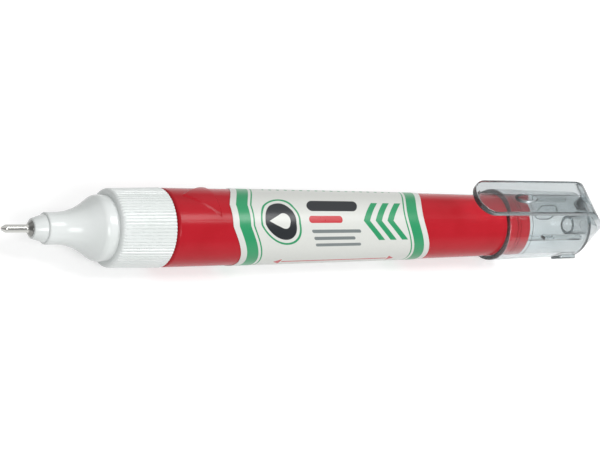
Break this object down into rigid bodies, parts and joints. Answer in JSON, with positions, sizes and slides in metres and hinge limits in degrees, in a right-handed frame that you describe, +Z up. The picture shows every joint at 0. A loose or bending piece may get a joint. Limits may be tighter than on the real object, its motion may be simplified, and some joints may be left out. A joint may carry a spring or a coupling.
{
  "type": "correction pen",
  "caption": "Squeezable correction pen with a ribbed collar, trumpet nozzle, sprung metal ball tip and a clear clip cap pushed on its tail.",
  "frame": {"origin": "under the middle of the pen, on the surface that it lies on", "axes": "+X along the pen from tip to cap, +Z up through the clip"},
  "size_m": [0.16, 0.0164, 0.0204],
  "materials": {
    "barrel_plastic": "glossy moulded red polyethylene",
    "label_film": "printed wrap film",
    "white_plastic": "satin white polypropylene",
    "tip_metal": "turned and polished",
    "ball_steel": "polished ball",
    "rod_steel": "drawn wire",
    "gasket_rubber": "matte pale rubber",
    "clear_plastic": "clear polystyrene"
  },
  "bodies": {
    "pen": {"barrel": "barrel_plastic", "label": "label_film", "collar": "white_plastic", "nozzle": "white_plastic", "nozzle_gasket": "gasket_rubber", "tip_holder": "white_plastic", "metal_tip": "tip_metal", "spring_seat": "white_plastic", "valve_spring": "rod_steel"},
    "valve": {"tip_ball": "ball_steel", "push_rod": "rod_steel"},
    "agitator": {"mixing_ball": "ball_steel"},
    "cap": {"cap": "clear_plastic"}
  },
  "joints": [
    {"name": "cap_slide", "type": "slide", "parent": "pen", "child": "cap", "axis": [1, 0, 0], "range_m": [0, 0.03]},
    {"name": "valve_press", "type": "slide", "parent": "pen", "child": "valve", "axis": [1, 0, 0], "range_m": [0, 0.0003], "stiffness_N_per_m": 250, "deforming": ["valve_spring"]},
    {"name": "mixing_ball_slide", "type": "slide", "parent": "pen", "child": "agitator", "axis": [0.9999, 0, 0.012], "range_m": [-0.0345, 0.0505]}
  ]
}
